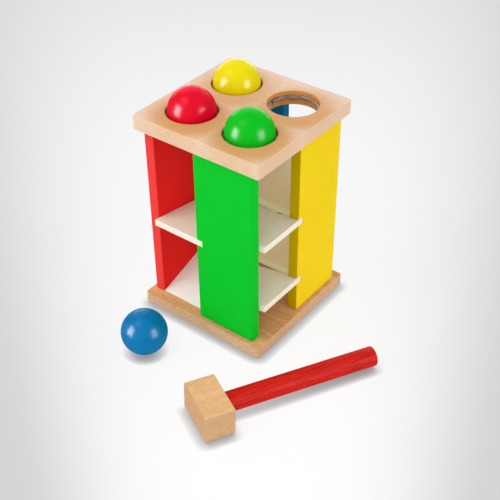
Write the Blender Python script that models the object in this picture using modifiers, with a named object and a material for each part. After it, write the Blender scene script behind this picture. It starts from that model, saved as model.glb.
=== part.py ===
"""Four-sided wooden ball pounding tower with ramps, four balls and a mallet.

Lengths are metres. The floor is z = 0 under the middle of the base board, the front
face looks along -Y and the right face along +X. Each face holds one upright panel on
its right, seen from outside, and leaves an opening on its left. The ramps run inward
from these openings, each ends over the next one round, and together they make a stair
that winds down to the exit in front.
"""

from math import atan2, cos, hypot, pi, radians, sin, sqrt

import bmesh
import bpy
from mathutils import Matrix

# Clearances and cuts
SEAT_GAP = 0.0003  # between two pieces that seat on each other
CUT_OVERRUN = 0.0020  # how far a cutter runs past the surface that it opens
WELD_DISTANCE = 0.00002  # points closer than this are one point

# Square boards at the top and bottom
TOP_SIDE = 0.1450
TOP_THICKNESS = 0.0150
BASE_MARGIN = 0.0010  # the base board's rim beyond the top board's
BASE_THICKNESS = 0.0125
BOARD_CORNER_RADIUS = 0.0028
BOARD_EASE = 0.0010

# Upright panels
PANEL_HEIGHT = 0.1945  # clear height between the two boards
PANEL_WIDTH = 0.0660
PANEL_THICKNESS = 0.0110
PANEL_SETBACK = 0.0038  # from the top board's edge in to a panel's outer face
PANEL_PAST_MIDDLE = 0.0040  # how far the free edge reaches over the face's middle
PANEL_EASE = 0.0008

# Dowels that join each panel end to its board
DOWEL_RADIUS = 0.0032
DOWEL_IN_BOARD = 0.0082
DOWEL_IN_PANEL = 0.0140
DOWEL_INSET = 0.0140  # from a panel's side to its dowel's axis
DOWEL_EASE = 0.0006
BORE_SLACK = 0.0010  # glue space past each end of a dowel

# Sloping ramps
RAMP_THICKNESS = 0.0070
RAMP_PAST_MIDDLE = 0.0009  # how far a low end runs past the tower's middle
RAMP_EASE = 0.0008
NOTCH_DEPTH = 0.0071  # into the free edge of the panel that holds a ramp's tab
RAMP_SLOPE_SHARE = 0.162  # drop for each length run

# Heights of the ramps' outer edges above the base board, in the order a ball takes them
BACK_UPPER_HEIGHT = 0.1270
RIGHT_UPPER_HEIGHT = 0.1128
FRONT_HEIGHT = 0.0963
LEFT_HEIGHT = 0.0754
BACK_LOWER_HEIGHT = 0.0545
RIGHT_LOWER_HEIGHT = 0.0410

# Exit ramp on the base board
EXIT_SLOPE_SHARE = 0.33
EXIT_NOSE = 0.0015  # thickness left at its front edge

# Balls
BALL_RADIUS = 0.0230
HOLE_SPACING = 0.0666  # between the axes of two neighbouring holes
HOLE_PLAY = 0.0017  # radial room round a ball in its hole
HOLE_EASE = 0.0010

# Split rings that grip the balls
RING_GRIP = 0.0002  # how much smaller a ring's bore is than its ball, on the radius
RING_WALL = 0.0028
RING_HEIGHT = 0.0046
RING_DEPTH = 0.0048  # from the top board's face down to a ring's upper edge
RING_PLAY = 0.0007  # radial room behind a ring, for it to open
RING_SPLIT = 0.0022  # width of the slot
RING_EASE = 0.0004

# Ball lying on the floor
LOOSE_BALL_X = -0.0246
LOOSE_BALL_Y = -0.1287

# Mallet
HEAD_LENGTH = 0.0502
HEAD_SIDE = 0.0297
HEAD_EASE = 0.0010
HANDLE_RADIUS = 0.0098
HANDLE_REACH = 0.1710  # from the head's middle to the handle's far end
HANDLE_EASE = 0.0006
SOCKET_DEPTH = 0.0200  # from the head's face to the handle's inner end
MALLET_X = 0.0848
MALLET_Y = -0.1630

# Turns about the vertical, and facet counts
FACE_TURN = pi / 2
MALLET_TURN = radians(62.3)
RING_SPLIT_TURN = radians(184)
SHARP_ANGLE = radians(35)
HOLE_STEPS = 40
BALL_SEGMENTS = 28
BALL_RINGS = 14
HANDLE_SEGMENTS = 32
DOWEL_SEGMENTS = 12
CORNER_STEPS = 3
EASE_SEGMENTS = 2

# Levels and planes that follow
BASE_SIDE = TOP_SIDE + 2 * BASE_MARGIN
BASE_TOP = BASE_THICKNESS
TOP_UNDERSIDE = BASE_TOP + PANEL_HEIGHT
TOP_FACE = TOP_UNDERSIDE + TOP_THICKNESS
PANEL_PLANE = TOP_SIDE / 2 - PANEL_SETBACK
PANEL_INNER = PANEL_PLANE - PANEL_THICKNESS
RING_TOP = TOP_FACE - RING_DEPTH
RING_BOTTOM = RING_TOP - RING_HEIGHT
RING_BORE = BALL_RADIUS - RING_GRIP
RING_OUTER = RING_BORE + RING_WALL
RAMP_WALL = SEAT_GAP - PANEL_INNER
RAMP_SIDE = -(RAMP_PAST_MIDDLE + SEAT_GAP)
RAMP_RUN = PANEL_PLANE + RAMP_PAST_MIDDLE
NOTCH_END = NOTCH_DEPTH - PANEL_PAST_MIDDLE

# Colours as the photograph shows them: linear red, green and blue, then roughness
FINISHES = {
    "beech_top": ((0.80, 0.56, 0.36), 0.45),
    "beech_base": ((0.66, 0.39, 0.22), 0.45),
    "white_lacquer": ((0.82, 0.76, 0.66), 0.40),
    "green_lacquer": ((0.004, 0.52, 0.06), 0.35),
    "yellow_lacquer": ((0.92, 0.66, 0.004), 0.35),
    "blue_lacquer": ((0.004, 0.16, 0.42), 0.35),
    "red_lacquer": ((0.70, 0.02, 0.025), 0.35),
    "grip_plastic": ((0.20, 0.11, 0.055), 0.40),
    "dowel_birch": ((0.70, 0.52, 0.34), 0.60),
    "red_gloss": ((0.74, 0.005, 0.012), 0.12),
    "green_gloss": ((0.004, 0.50, 0.012), 0.12),
    "yellow_gloss": ((0.88, 0.70, 0.003), 0.12),
    "blue_gloss": ((0.003, 0.17, 0.46), 0.15),
    "mallet_beech": ((0.72, 0.44, 0.22), 0.50),
    "red_stain": ((0.58, 0.012, 0.010), 0.45),
}


def start_scene():
    """Empty the scene and return the collections for the model and its cutters."""
    for old in list(bpy.data.objects):
        bpy.data.objects.remove(old, do_unlink=True)
    collections = []
    for name in ("Ball pounding tower", "Cutters"):
        collection = bpy.data.collections.new(name)
        bpy.context.scene.collection.children.link(collection)
        collections.append(collection)
    return collections


def make_materials():
    """One Principled material for each finish."""
    materials = {}
    for name, (colour, roughness) in FINISHES.items():
        material = bpy.data.materials.new(name)
        material.use_nodes = True
        shader = material.node_tree.nodes["Principled BSDF"]
        shader.inputs["Base Color"].default_value = (*colour, 1.0)
        shader.inputs["Roughness"].default_value = roughness
        shader.inputs["Metallic"].default_value = 0.0
        material.diffuse_color = (*colour, 1.0)
        materials[name] = material
    return materials


def add_object(name, mesh, finish, parent=None):
    """Put a mesh in the model as one named piece with its finish."""
    piece = bpy.data.objects.new(name, mesh)
    mesh.materials.append(MATERIALS[finish])
    piece.parent = parent
    MODEL.objects.link(piece)
    return piece


def add_cutter(name, mesh, parent=None):
    """Put a mesh among the cutters, which are guides and not pieces."""
    cutter = bpy.data.objects.new(name, mesh)
    cutter.parent = parent
    cutter.hide_render = True
    cutter.display_type = "WIRE"
    CUTTERS.objects.link(cutter)
    return cutter


def add_empty(name, location, turn):
    """An empty that places the pieces parented to it."""
    empty = bpy.data.objects.new(name, None)
    empty.location = location
    empty.rotation_euler.z = turn
    MODEL.objects.link(empty)
    return empty


def cut(piece, cutter):
    """Take a cutter's shape out of a piece."""
    boolean = piece.modifiers.new(cutter.name, "BOOLEAN")
    boolean.operation = "DIFFERENCE"
    boolean.object = cutter


def ease_edges(piece, width, segments=EASE_SEGMENTS):
    """Round the edges between faces that meet at a clear angle."""
    bevel = piece.modifiers.new("Eased edges", "BEVEL")
    bevel.width = width
    bevel.segments = segments
    bevel.limit_method = "ANGLE"
    bevel.angle_limit = SHARP_ANGLE


def box_mesh(name, low, high):
    """A box between two opposite corners, from a unit cube."""
    mesh = bpy.data.meshes.new(name)
    shape = bmesh.new()
    bmesh.ops.create_cube(shape, size=1.0)
    size = [top - bottom for bottom, top in zip(low, high)]
    middle = [(top + bottom) / 2 for bottom, top in zip(low, high)]
    placing = Matrix.Translation(middle) @ Matrix.Diagonal((*size, 1.0))
    bmesh.ops.transform(shape, matrix=placing, verts=shape.verts)
    shape.to_mesh(mesh)
    shape.free()
    return mesh


def rod_mesh(name, radius, bottom, top, segments):
    """An upright round rod between two heights."""
    mesh = bpy.data.meshes.new(name)
    shape = bmesh.new()
    placing = Matrix.Translation((0, 0, (bottom + top) / 2))
    bmesh.ops.create_cone(shape, cap_ends=True, segments=segments, radius1=radius,
                          radius2=radius, depth=top - bottom, matrix=placing)
    shape.to_mesh(mesh)
    shape.free()
    mesh.shade_smooth()
    mesh.set_sharp_from_angle(angle=SHARP_ANGLE)
    return mesh


def ball_mesh(name):
    """A ball about its own centre."""
    mesh = bpy.data.meshes.new(name)
    shape = bmesh.new()
    bmesh.ops.create_uvsphere(shape, u_segments=BALL_SEGMENTS, v_segments=BALL_RINGS,
                              radius=BALL_RADIUS)
    shape.to_mesh(mesh)
    shape.free()
    mesh.shade_smooth()
    return mesh


def plate_mesh(name, outline, thickness):
    """A flat outline in X and Y with a thickness along Z, centred on z = 0."""
    curve = bpy.data.curves.new(name, "CURVE")
    curve.dimensions = "2D"
    curve.fill_mode = "BOTH"
    curve.extrude = thickness / 2
    spline = curve.splines.new("POLY")
    spline.points.add(len(outline) - 1)
    for point, (x, y) in zip(spline.points, outline):
        point.co = (x, y, 0, 1)
    spline.use_cyclic_u = True
    drawing = bpy.data.objects.new(name + " outline", curve)
    CUTTERS.objects.link(drawing)
    evaluated = drawing.evaluated_get(bpy.context.evaluated_depsgraph_get())
    mesh = bpy.data.meshes.new_from_object(evaluated)
    mesh.name = name
    mesh.transform(drawing.matrix_world)
    bpy.data.objects.remove(drawing, do_unlink=True)
    shape = bmesh.new()
    shape.from_mesh(mesh)
    bmesh.ops.remove_doubles(shape, verts=shape.verts, dist=WELD_DISTANCE)
    shape.to_mesh(mesh)
    shape.free()
    return mesh


def turn_profile(piece, steps):
    """Turn a piece's profile of edges once round the Z axis."""
    screw = piece.modifiers.new("Turned", "SCREW")
    screw.axis = "Z"
    screw.angle = 2 * pi
    screw.steps = steps
    screw.render_steps = steps
    screw.use_merge_vertices = True
    screw.merge_threshold = WELD_DISTANCE


def profile_mesh(name, points, closed):
    """The edges of a profile in X and Z, from its top point to its bottom point."""
    mesh = bpy.data.meshes.new(name)
    shape = bmesh.new()
    verts = [shape.verts.new((x, 0, z)) for x, z in points]
    pairs = list(zip(verts, verts[1:]))
    if closed:
        pairs.append((verts[-1], verts[0]))
    for start, end in pairs:
        shape.edges.new((start, end))
    shape.to_mesh(mesh)
    shape.free()
    return mesh


def rounded_square(side, radius):
    """Corner arcs of a square outline, anticlockwise from the +X +Y corner."""
    centre = side / 2 - radius
    outline = []
    for corner in range(4):
        for step in range(CORNER_STEPS + 1):
            angle = FACE_TURN * (corner + step / CORNER_STEPS)
            quarter = FACE_TURN * corner + FACE_TURN / 2
            x = centre * sqrt(2) * cos(quarter) + radius * cos(angle)
            y = centre * sqrt(2) * sin(quarter) + radius * sin(angle)
            outline.append((x, y))
    return outline


def make_board(name, side, thickness, underside, finish):
    """A square board with small rounded corners, lying flat."""
    mesh = plate_mesh(name, rounded_square(side, BOARD_CORNER_RADIUS), thickness)
    board = add_object(name, mesh, finish)
    board.location.z = underside + thickness / 2
    ease_edges(board, BOARD_EASE)
    return board


def make_face(name, turns):
    """An empty on the floor in a face's outer plane, X to the right and Y inward."""
    turn = FACE_TURN * turns
    return add_empty(name, (PANEL_PLANE * sin(turn), -PANEL_PLANE * cos(turn), 0), turn)


def make_panel(name, face, finish):
    """An upright panel on a face's right, standing between the two boards."""
    low = (-PANEL_PAST_MIDDLE, 0, BASE_TOP + SEAT_GAP)
    high = (PANEL_WIDTH - PANEL_PAST_MIDDLE, PANEL_THICKNESS, TOP_UNDERSIDE - SEAT_GAP)
    panel = add_object(name, box_mesh(name, low, high), finish, face)
    ease_edges(panel, PANEL_EASE)
    return panel


def slope_plate(mesh, slope):
    """Tip a flat plate so that it falls toward +Y and keeps its ends upright."""
    mesh.transform(Matrix.Shear("XZ", 4, (0, -slope)))


def make_ramp(name, face, height):
    """A sloping board whose tab lies in the notch of the panel on its right.

    In plan it is a rectangle from the left neighbour's panel to just short of the
    tower's middle, with a tab as deep as the panel is thick.
    """
    tab_end = NOTCH_END - SEAT_GAP
    outline = [(RAMP_WALL, 0), (tab_end, 0), (tab_end, PANEL_THICKNESS),
               (RAMP_SIDE, PANEL_THICKNESS), (RAMP_SIDE, RAMP_RUN), (RAMP_WALL, RAMP_RUN)]
    mesh = plate_mesh(name, outline, RAMP_THICKNESS)
    slope_plate(mesh, RAMP_SLOPE_SHARE)
    ramp = add_object(name, mesh, "white_lacquer", face)
    ramp.location.z = BASE_TOP + height - RAMP_THICKNESS / 2
    ease_edges(ramp, RAMP_EASE)
    return ramp


def notch_panel(panel, face, height, name):
    """Cut the sloping notch that a ramp's tab lies in, open at the panel's free edge."""
    left = -PANEL_PAST_MIDDLE - CUT_OVERRUN
    outline = [(left, -CUT_OVERRUN), (NOTCH_END, -CUT_OVERRUN),
               (NOTCH_END, PANEL_THICKNESS + CUT_OVERRUN),
               (left, PANEL_THICKNESS + CUT_OVERRUN)]
    mesh = plate_mesh(name, outline, RAMP_THICKNESS + 2 * SEAT_GAP)
    slope_plate(mesh, RAMP_SLOPE_SHARE)
    notch = add_cutter(name, mesh, face)
    notch.location.z = BASE_TOP + height - RAMP_THICKNESS / 2
    cut(panel, notch)


def make_exit_ramp(face):
    """A steeper board that lies on the base and lets the ball roll out in front.

    Its side outline is drawn with X inward and Y up, then stood on edge, so that its
    thickness becomes the ramp's width between the two panels.
    """
    nose = PANEL_PLANE - (PANEL_WIDTH - PANEL_PAST_MIDDLE - SEAT_GAP)
    run = RAMP_RUN - nose
    lie = BASE_TOP + SEAT_GAP
    rise = EXIT_NOSE + run * EXIT_SLOPE_SHARE
    plumb_thickness = RAMP_THICKNESS * hypot(1, EXIT_SLOPE_SHARE)
    heel = nose + (plumb_thickness - EXIT_NOSE) / EXIT_SLOPE_SHARE
    outline = [(nose, lie), (heel, lie), (RAMP_RUN, lie + rise - plumb_thickness),
               (RAMP_RUN, lie + rise), (nose, lie + EXIT_NOSE)]
    right = -PANEL_PAST_MIDDLE - SEAT_GAP
    mesh = plate_mesh("exit_ramp", outline, right - RAMP_WALL)
    ramp = add_object("exit_ramp", mesh, "white_lacquer", face)
    ramp.location.x = (right + RAMP_WALL) / 2
    ramp.rotation_euler = (FACE_TURN, 0, FACE_TURN)
    ease_edges(ramp, min(RAMP_EASE, EXIT_NOSE / 3))


def dowel_places():
    """Distances along a face of the two dowels in a panel's end."""
    left = DOWEL_INSET - PANEL_PAST_MIDDLE
    right = PANEL_WIDTH - PANEL_PAST_MIDDLE - DOWEL_INSET
    return left, right


def make_dowels(side_name, face, panel, board, seam, board_side):
    """Two dowels across the seam between a panel's end and a board.

    board_side is -1 where the board lies under the panel and 1 where it lies on top.
    """
    reach = (DOWEL_IN_BOARD, DOWEL_IN_PANEL)
    depth_in_panel = seam - board_side * reach[1]
    depth_in_board = seam + board_side * reach[0]
    bottom, top = sorted((depth_in_panel, depth_in_board))
    for number, along in enumerate(dowel_places(), start=1):
        label = f"{side_name}_dowel_{number}"
        rod = rod_mesh(label, DOWEL_RADIUS, bottom, top, DOWEL_SEGMENTS)
        dowel = add_object(label, rod, "dowel_birch", face)
        dowel.location = (along, PANEL_THICKNESS / 2, 0)
        ease_edges(dowel, DOWEL_EASE, segments=1)
        bore = rod_mesh(label + " bore", DOWEL_RADIUS + SEAT_GAP, bottom - BORE_SLACK,
                        top + BORE_SLACK, DOWEL_SEGMENTS)
        cutter = add_cutter(label + " bore", bore, face)
        cutter.location = dowel.location
        cut(panel, cutter)
        cut(board, cutter)


def cut_hole(board, name, x, y):
    """A round hole through the top board, with a groove for its grip ring."""
    radius = BALL_RADIUS + HOLE_PLAY
    groove = RING_OUTER + RING_PLAY
    flare = HOLE_EASE + CUT_OVERRUN
    profile = [(0, TOP_FACE + CUT_OVERRUN), (radius + flare, TOP_FACE + CUT_OVERRUN),
               (radius, TOP_FACE - HOLE_EASE), (radius, RING_TOP + SEAT_GAP),
               (groove, RING_TOP + SEAT_GAP), (groove, RING_BOTTOM - SEAT_GAP),
               (radius, RING_BOTTOM - SEAT_GAP), (radius, TOP_UNDERSIDE + HOLE_EASE),
               (radius + flare, TOP_UNDERSIDE - CUT_OVERRUN),
               (0, TOP_UNDERSIDE - CUT_OVERRUN)]
    hole = add_cutter(name, profile_mesh(name, profile, closed=False))
    hole.location = (x, y, 0)
    turn_profile(hole, HOLE_STEPS)
    cut(board, hole)


def make_ring(name, x, y):
    """A grip ring, turned from its section and slotted through on one side."""
    section = [(RING_BORE + RING_EASE, RING_TOP), (RING_OUTER, RING_TOP),
               (RING_OUTER, RING_BOTTOM), (RING_BORE + RING_EASE, RING_BOTTOM),
               (RING_BORE, RING_BOTTOM + RING_EASE), (RING_BORE, RING_TOP - RING_EASE)]
    ring = add_object(name, profile_mesh(name, section, closed=True), "grip_plastic")
    ring.location = (x, y, 0)
    turn_profile(ring, HOLE_STEPS)
    low = (0, -RING_SPLIT / 2, RING_BOTTOM - CUT_OVERRUN)
    high = (RING_OUTER + CUT_OVERRUN, RING_SPLIT / 2, RING_TOP + CUT_OVERRUN)
    slot = add_cutter(name + " slot", box_mesh(name + " slot", low, high))
    slot.location = ring.location
    slot.rotation_euler.z = RING_SPLIT_TURN
    cut(ring, slot)


def make_ball(name, location, finish):
    """A ball with its origin at its centre, on the line that it is driven along."""
    ball = add_object(name, ball_mesh(name), finish)
    ball.location = location


def make_mallet():
    """The mallet as it lies: on its head's lower edge and on the handle's far end."""
    half = HEAD_SIDE / 2
    tilt = atan2(half - HANDLE_RADIUS, HANDLE_REACH - half)
    mallet = add_empty("mallet", (MALLET_X, MALLET_Y, half * sin(tilt)), MALLET_TURN)
    mallet.rotation_euler.y = tilt
    low = (-half, -HEAD_LENGTH / 2, 0)
    high = (half, HEAD_LENGTH / 2, HEAD_SIDE)
    head = add_object("mallet_head", box_mesh("mallet_head", low, high), "mallet_beech",
                      mallet)
    ease_edges(head, HEAD_EASE)
    inner_end = half - SOCKET_DEPTH
    lay_down = (0, FACE_TURN, 0)
    rod = rod_mesh("mallet_handle", HANDLE_RADIUS, inner_end, HANDLE_REACH, HANDLE_SEGMENTS)
    handle = add_object("mallet_handle", rod, "red_stain", mallet)
    handle.location.z = half
    handle.rotation_euler = lay_down
    ease_edges(handle, HANDLE_EASE)
    bore = rod_mesh("socket", HANDLE_RADIUS + SEAT_GAP, inner_end - SEAT_GAP,
                    half + CUT_OVERRUN, HANDLE_SEGMENTS)
    socket = add_cutter("socket", bore, mallet)
    socket.location.z = half
    socket.rotation_euler = lay_down
    cut(head, socket)


def make_tower():
    """Boards, panels, ramps, dowels and rings, and the balls that the rings hold."""
    base = make_board("base_board", BASE_SIDE, BASE_THICKNESS, 0, "beech_base")
    top = make_board("top_board", TOP_SIDE, TOP_THICKNESS, TOP_UNDERSIDE, "beech_top")
    faces = (
        ("front", "green_lacquer", {"front_ramp": FRONT_HEIGHT}),
        ("right", "yellow_lacquer", {"right_upper_ramp": RIGHT_UPPER_HEIGHT,
                                     "right_lower_ramp": RIGHT_LOWER_HEIGHT}),
        ("back", "blue_lacquer", {"back_upper_ramp": BACK_UPPER_HEIGHT,
                                  "back_lower_ramp": BACK_LOWER_HEIGHT}),
        ("left", "red_lacquer", {"left_ramp": LEFT_HEIGHT}),
    )
    for turns, (side, finish, ramps) in enumerate(faces):
        face = make_face(side + "_face", turns)
        panel = make_panel(side + "_panel", face, finish)
        for name, height in ramps.items():
            make_ramp(name, face, height)
            notch_panel(panel, face, height, name + " notch")
        make_dowels(side + "_base", face, panel, base, BASE_TOP, -1)
        make_dowels(side + "_top", face, panel, top, TOP_UNDERSIDE, 1)
        if side == "front":
            make_exit_ramp(face)

    offset = HOLE_SPACING / 2
    seated = RING_TOP + sqrt((BALL_RADIUS + SEAT_GAP) ** 2 - RING_BORE ** 2)
    holes = (
        ("front_left", -offset, -offset, "red"),
        ("front_right", offset, -offset, "green"),
        ("back_left", -offset, offset, "yellow"),
        ("back_right", offset, offset, None),
    )
    for place, x, y, colour in holes:
        cut_hole(top, place + " hole", x, y)
        make_ring(place + "_grip_ring", x, y)
        if colour:
            make_ball(colour + "_ball", (x, y, seated), colour + "_gloss")


MODEL, CUTTERS = start_scene()
MATERIALS = make_materials()
make_tower()
make_ball("blue_ball", (LOOSE_BALL_X, LOOSE_BALL_Y, BALL_RADIUS), "blue_gloss")
make_mallet()
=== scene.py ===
# %% [markdown]
# # A wooden ball pounding tower, dressed piece by piece
#
# The toy is a square tower of beech and lacquered wood. Four balls sit in holes in its
# top board, a mallet knocks them through, and they roll down white ramps to the table.
# The imported CAD model is the frame: it says where every piece is and how it moves. Here
# each of its plain solids is replaced by a finer surface with a finish of its own.
#
# The first lines load the frame.

# %% Load the frame
from math import atan2, cos, hypot, pi, radians, sin

import bmesh
import bpy
import numpy as np
from mathutils import Matrix, Vector


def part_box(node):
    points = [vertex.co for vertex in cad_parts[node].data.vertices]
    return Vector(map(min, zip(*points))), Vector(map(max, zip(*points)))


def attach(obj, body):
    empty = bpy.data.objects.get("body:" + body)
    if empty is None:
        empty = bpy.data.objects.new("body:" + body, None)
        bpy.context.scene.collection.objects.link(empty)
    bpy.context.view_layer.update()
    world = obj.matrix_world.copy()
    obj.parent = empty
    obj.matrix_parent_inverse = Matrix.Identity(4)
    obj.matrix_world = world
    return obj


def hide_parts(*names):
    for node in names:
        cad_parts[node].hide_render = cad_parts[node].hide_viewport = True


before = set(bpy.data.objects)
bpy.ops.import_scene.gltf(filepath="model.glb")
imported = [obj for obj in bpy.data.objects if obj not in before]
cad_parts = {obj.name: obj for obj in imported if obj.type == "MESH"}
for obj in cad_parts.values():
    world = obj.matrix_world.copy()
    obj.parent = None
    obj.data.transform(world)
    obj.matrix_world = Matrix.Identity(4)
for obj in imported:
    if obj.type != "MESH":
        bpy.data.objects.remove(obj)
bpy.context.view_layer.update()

scene = bpy.context.scene

# %% [markdown]
# ## The camera
#
# A photograph of a square tower gives its own camera away: edges that are parallel on
# the toy run together in the picture, and how fast they do so tells the lens and the
# distance. The numbers here were solved that way. The camera could also be turned by
# hand until the outlines agree, but a solved one leaves nothing to guess. Azimuth 0
# looks at the front, and a positive one goes round to the right.

# %% Camera
def from_middle(azimuth, elevation):
    """The way from the tower to a point round it: sines and cosines of a globe."""
    a, e = radians(azimuth), radians(elevation)
    return Vector((sin(a) * cos(e), -cos(a) * cos(e), sin(e)))


def level_right(azimuth):
    """The level way to the right of somebody looking in from that azimuth."""
    return Vector((cos(radians(azimuth)), sin(radians(azimuth)), 0))


CAMERA_AZIMUTH, CAMERA_ELEVATION, CAMERA_ROLL = 37.655, 37.725, radians(-0.388)
CAMERA_DISTANCE, CAMERA_TARGET = 0.9798, Vector((0.00436, 0.00337, 0.05532))
FOCAL_PIXELS, PICTURE_PIXELS, SENSOR = 953.9, 500, 36.0

back = from_middle(CAMERA_AZIMUTH, CAMERA_ELEVATION)
right = level_right(CAMERA_AZIMUTH)
up = back.cross(right)
tipped_right = right * cos(CAMERA_ROLL) + up * sin(CAMERA_ROLL)
tipped_up = up * cos(CAMERA_ROLL) - right * sin(CAMERA_ROLL)
camera = bpy.data.objects.new("camera", bpy.data.cameras.new("camera"))
camera.matrix_world = Matrix.Translation(CAMERA_TARGET + back * CAMERA_DISTANCE) @ (
    Matrix((tipped_right, tipped_up, back)).transposed().to_4x4())
camera.data.sensor_width = SENSOR
camera.data.lens = FOCAL_PIXELS * SENSOR / PICTURE_PIXELS
scene.collection.objects.link(camera)
scene.camera = camera
scene.view_settings.view_transform = "Standard"
print("lens", round(camera.data.lens, 1), "mm, camera at",
      [round(value, 3) for value in camera.matrix_world.translation])

# %% [markdown]
# ## Studio light
#
# Every painted ball is a small mirror. Each one shows a pale window low on the left,
# another low on the right and a pale rim along its top, and where a reflection lies on
# a ball tells where its lamp stands. A pale room does most of the lighting and keeps
# the shadows soft, so the softboxes only model the forms. A lamp that is strong enough
# to be seen in thin gloss would be too strong as light, so each window has a twin: one
# lights, the other is only seen in gloss. A sky picture could do all this too, but a
# few lamps are easier to read and to move.

# %% Softboxes and their twins
LIT_POINT = Vector((0, 0, 0.13))
LEFT, RIGHT, HIGH = (-31, 12, 1.5), (91, 12, 1.5), (-33, 60, 1.6)
FRONT, BACK, LOW_BACK = (28, 26, 1.6), (217, 38, 1.8), (217, 5, 1.8)


def softbox(name, place, width, height, power, lights=True):
    """A rectangular lamp at an azimuth, elevation and distance, facing the tower.

    One that lights gives light and is left out of reflections, and its twin is only
    seen in them, so that the two strengths can be set apart.
    """
    azimuth, elevation, distance = place
    lamp = bpy.data.lights.new(name, "AREA")
    lamp.shape, lamp.size, lamp.size_y, lamp.energy = "RECTANGLE", width, height, power
    holder = bpy.data.objects.new(name, lamp)
    way = from_middle(azimuth, elevation)
    holder.location = LIT_POINT + way * distance
    holder.rotation_euler = way.to_track_quat("Z", "Y").to_euler()
    holder.visible_diffuse, holder.visible_glossy = lights, not lights
    scene.collection.objects.link(holder)
    print(name, "radiance", round(power / (pi * width * height), 1))


softbox("left_softbox", LEFT, 0.60, 1.05, 2.4)
softbox("right_softbox", RIGHT, 0.60, 0.95, 2.8)
softbox("high_softbox", HIGH, 0.75, 0.60, 4.6)
softbox("front_softbox", FRONT, 0.80, 0.80, 2.1)
softbox("left_window", LEFT, 0.72, 1.00, 160.0, lights=False)
softbox("right_window", RIGHT, 0.70, 0.95, 95.0, lights=False)
softbox("high_window", HIGH, 0.75, 0.60, 9.6, lights=False)
softbox("back_window", BACK, 2.40, 0.80, 14.4, lights=False)
softbox("rim_window", LOW_BACK, 2.60, 0.70, 45.0, lights=False)

# %% [markdown]
# ## Writing materials as sums
#
# A finish is a small calculation done at every point of a surface: how dark is the
# grain here, how deep is this pore? Blender draws it as boxes and cables. The class
# below holds one cable end, so that the same calculation can be written in Python as
# `1 - fleck * 0.5`, and every sign adds the node that it needs. One method makes every
# other kind of node.

# %% A wire that does maths
class Wire:
    """One output socket in a material. Sums, differences and products add nodes."""

    def __init__(self, tree, socket=None):
        self.tree, self.socket = tree, socket

    def node(self, kind, settings, values, output=0):
        """Any node: its type, its settings first, then its sockets' values or wires."""
        made = self.tree.nodes.new(kind)
        for key, value in settings.items():
            setattr(made, key, value)
        for key, value in values.items():
            if isinstance(value, Wire):
                self.tree.links.new(value.socket, made.inputs[key])
            else:
                made.inputs[key].default_value = value
        return Wire(self.tree, made.outputs[output])

    def maths(self, operation, other):
        """One operation of a Math node on this wire and another value."""
        return self.node("ShaderNodeMath", {"operation": operation},
                         {0: self, 1: other})

    def vector(self, operation, other, output=0):
        """The same for vectors: a Vector Math node."""
        return self.node("ShaderNodeVectorMath", {"operation": operation},
                         {0: self, 1: other}, output)

    def along(self, way):
        """How far this vector reaches along a direction."""
        return self.vector("DOT_PRODUCT", way, output="Value")

    def __add__(self, other):
        return self.maths("ADD", other)

    def __sub__(self, other):
        return self.maths("SUBTRACT", other)

    def __rsub__(self, other):
        return self * -1 + other

    def __mul__(self, other):
        return self.maths("MULTIPLY", other)

    def __truediv__(self, other):
        return self.maths("DIVIDE", other)

    __radd__, __rmul__ = __add__, __mul__

    def step(self, low, high):
        """0 below low, 1 above high, and a smooth rise between them."""
        return self.node("ShaderNodeMapRange", {"interpolation_type": "SMOOTHSTEP"},
                         {"Value": self, "From Min": low, "From Max": high})

    def mix(self, first, second):
        """The first colour where this wire is 0 and the second where it is 1."""
        return self.node("ShaderNodeMix", {"data_type": "RGBA"},
                         {"Factor": self, 6: first, 7: second}, output=2)

    def noise(self, size, detail=2.0):
        """Cloudy values about 0.5, with spots of that size in metres on each axis."""
        stretched = self.vector("MULTIPLY", [1 / length for length in size])
        return self.node("ShaderNodeTexNoise", {},
                         {"Vector": stretched, "Scale": 1.0, "Detail": detail})


def rgb(red, green, blue):
    """A colour of a linear red, green and blue, as a socket wants it."""
    return (red, green, blue, 1.0)


def start_material(name):
    """A new material's shader node, and a wire with the piece's own coordinates."""
    material = bpy.data.materials.new(name)
    material.use_nodes = True
    shader = material.node_tree.nodes["Principled BSDF"]
    wire = Wire(material.node_tree)
    place = wire.node("ShaderNodeTexCoord", {}, {}, output="Object")
    return material, shader, place


def connect(shader, **sockets):
    """Set or wire a shader's sockets. An underscore in a name stands for a space."""
    for key, value in sockets.items():
        socket = shader.inputs[key.replace("_", " ")]
        if isinstance(value, Wire):
            value.tree.links.new(value.socket, socket)
        else:
            socket.default_value = value


def bumped(height, distance):
    """A surface direction that tips as a height does. The distance is in metres."""
    return height.node("ShaderNodeBump", {}, {"Height": height, "Distance": distance,
                                              "Strength": 1.0})


def surface_way(wire):
    """The direction in which the surface looks, on the piece's own axes."""
    return wire.node("ShaderNodeTexCoord", {}, {}, output="Normal")


def send_out(shader):
    """Lead a finished shader to the output of its tree."""
    nodes = shader.tree.nodes
    output = next(node for node in nodes if node.type.startswith("OUTPUT"))
    shader.tree.links.new(shader.socket, output.inputs["Surface"])


print("wires ready")
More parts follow.
